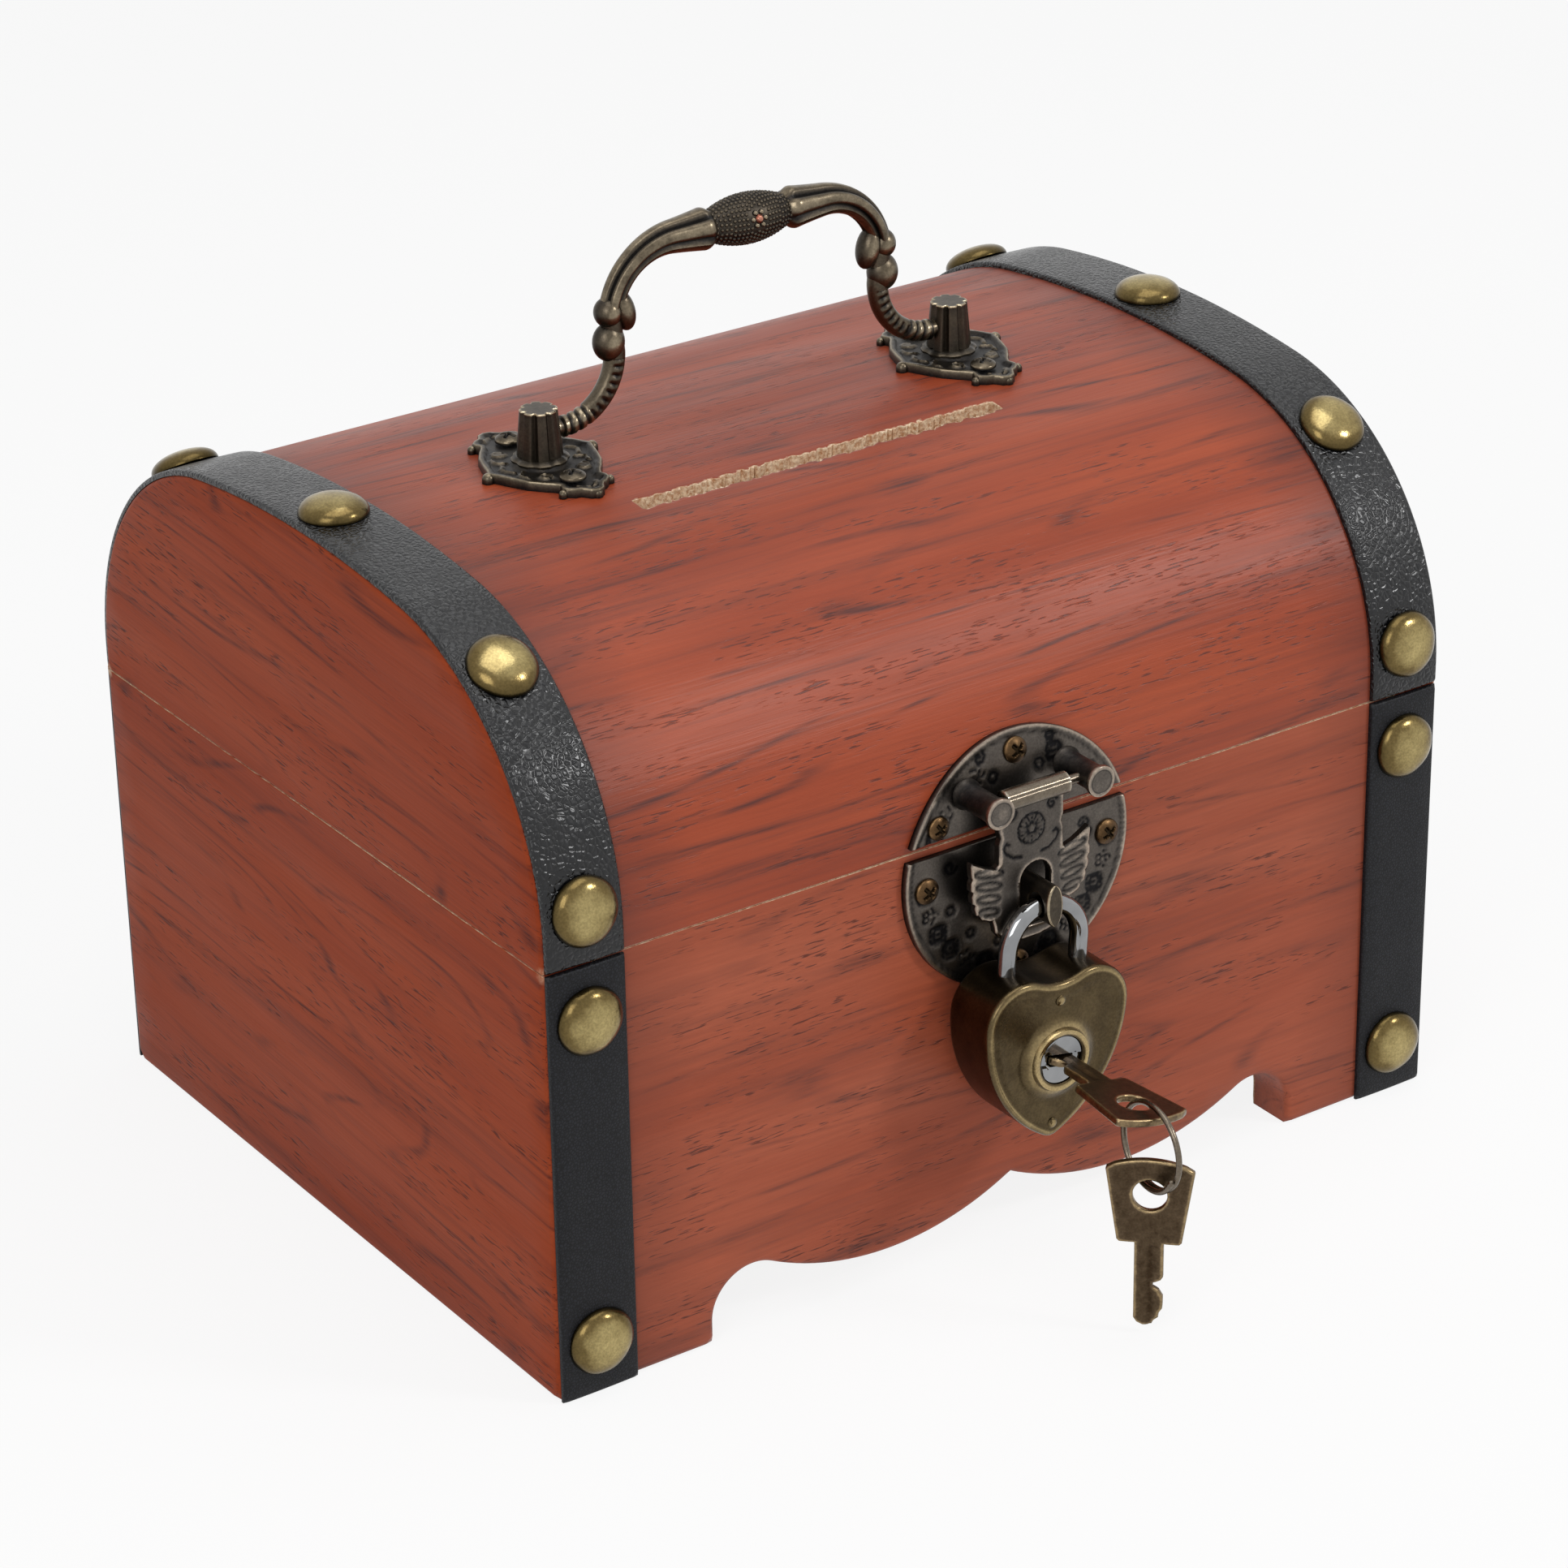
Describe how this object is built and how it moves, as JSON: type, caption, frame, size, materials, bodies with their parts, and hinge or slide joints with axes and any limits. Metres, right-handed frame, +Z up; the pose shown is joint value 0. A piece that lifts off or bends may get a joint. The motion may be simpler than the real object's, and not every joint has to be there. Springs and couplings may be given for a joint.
{
  "type": "donation box",
  "caption": "Small wooden treasure-chest donation box with a domed lid, coin slot, leather straps, domed tacks, cast carrying handle, hasp, heart-shaped padlock and keys.",
  "frame": {"origin": "middle of the chest's footprint on the surface that it stands on", "axes": "+X along the chest, to the right as seen from its front; -Y out of the front with the latch and padlock; +Z up"},
  "size_m": [0.17, 0.1814, 0.156],
  "materials": {
    "wood": "satin red-brown stain",
    "leather": "black pebbled, semi-gloss",
    "tack_brass": "aged",
    "screw_brass": "aged",
    "gunmetal": "dark antique plating, worn rim",
    "bronze": "antique bronze plating",
    "chrome": "polished",
    "steel": "drawn wire",
    "lock_brass": "antique olive brass",
    "key_brass": "aged"
  },
  "bodies": {
    "chest": {"front_board": "wood", "back_board": "wood", "end_board_left": "wood", "end_board_right": "wood", "floor_board": "wood", "body_strap_front_left": "leather", "body_strap_front_right": "leather", "body_strap_back_left": "leather", "body_strap_back_right": "leather", "body_tacks": "tack_brass", "latch_plate_lower": "gunmetal", "latch_screws_lower": "screw_brass", "staple": "bronze", "hinge_body_leaf_left": "screw_brass", "hinge_body_leaf_right": "screw_brass", "hinge_pins": "steel", "hinge_body_screws": "screw_brass"},
    "lid": {"lid_board_front": "wood", "lid_board_back": "wood", "lid_slot_end_left": "wood", "lid_slot_end_right": "wood", "lid_end_left": "wood", "lid_end_right": "wood", "lid_strap_left": "leather", "lid_strap_right": "leather", "lid_tacks": "tack_brass", "latch_plate_upper": "gunmetal", "latch_screws_upper": "screw_brass", "hasp_pin": "steel", "hinge_lid_leaf_left": "screw_brass", "hinge_lid_leaf_right": "screw_brass", "hinge_lid_screws": "screw_brass", "handle_mount_left": "bronze", "handle_mount_right": "bronze", "handle_screws": "bronze"},
    "handle": {"handle_bail": "bronze"},
    "hasp": {"hasp": "gunmetal"},
    "shackle": {"shackle": "chrome"},
    "padlock": {"padlock_body": "lock_brass", "padlock_collar": "lock_brass", "padlock_rivets": "lock_brass"},
    "cylinder": {"lock_cylinder": "chrome"},
    "key": {"key_in_lock": "key_brass"},
    "ring": {"key_ring": "steel"},
    "spare": {"spare_key": "key_brass"}
  },
  "joints": [
    {"name": "lid_open", "type": "hinge", "parent": "chest", "child": "lid", "pos_m": [0, 0.069, 0.0725], "axis": [-1, 0, 0], "range_deg": [0, 100]},
    {"name": "handle_swing", "type": "hinge", "parent": "lid", "child": "handle", "pos_m": [-0.003, -0.0013, 0.1253], "axis": [1, 0, 0], "range_deg": [-90, 90]},
    {"name": "padlock_off", "type": "slide", "parent": "chest", "child": "shackle", "axis": [0, -1, 0], "range_m": [0, 0.08]},
    {"name": "hasp_swing", "type": "hinge", "parent": "lid", "child": "hasp", "pos_m": [0, -0.0726, 0.08], "axis": [-1, 0, 0], "range_deg": [0, 151]},
    {"name": "shackle_open", "type": "slide", "parent": "shackle", "child": "padlock", "axis": [-0.0698, 0, -0.9976], "range_m": [0, 0.007]},
    {"name": "key_turn", "type": "hinge", "parent": "padlock", "child": "cylinder", "pos_m": [-0.00119, -0.0742, 0.03749], "axis": [0, 1, 0], "range_deg": [0, 90]},
    {"name": "key_pull", "type": "slide", "parent": "cylinder", "child": "key", "axis": [0, -1, 0], "range_m": [0, 0.03]},
    {"name": "ring_swing", "type": "hinge", "parent": "key", "child": "ring", "pos_m": [-0.00119, -0.1026, 0.03749], "axis": [0, 1, 0], "range_deg": [-30, 30]},
    {"name": "spare_key_swing", "type": "hinge", "parent": "ring", "child": "spare", "pos_m": [-0.00119, -0.1026, 0.02549], "axis": [0, 1, 0], "range_deg": [-45, 45]}
  ],
  "couplings": [
    {"joint": "hasp_swing", "follows": "padlock_off", "rad_per_m": 32.7}
  ]
}
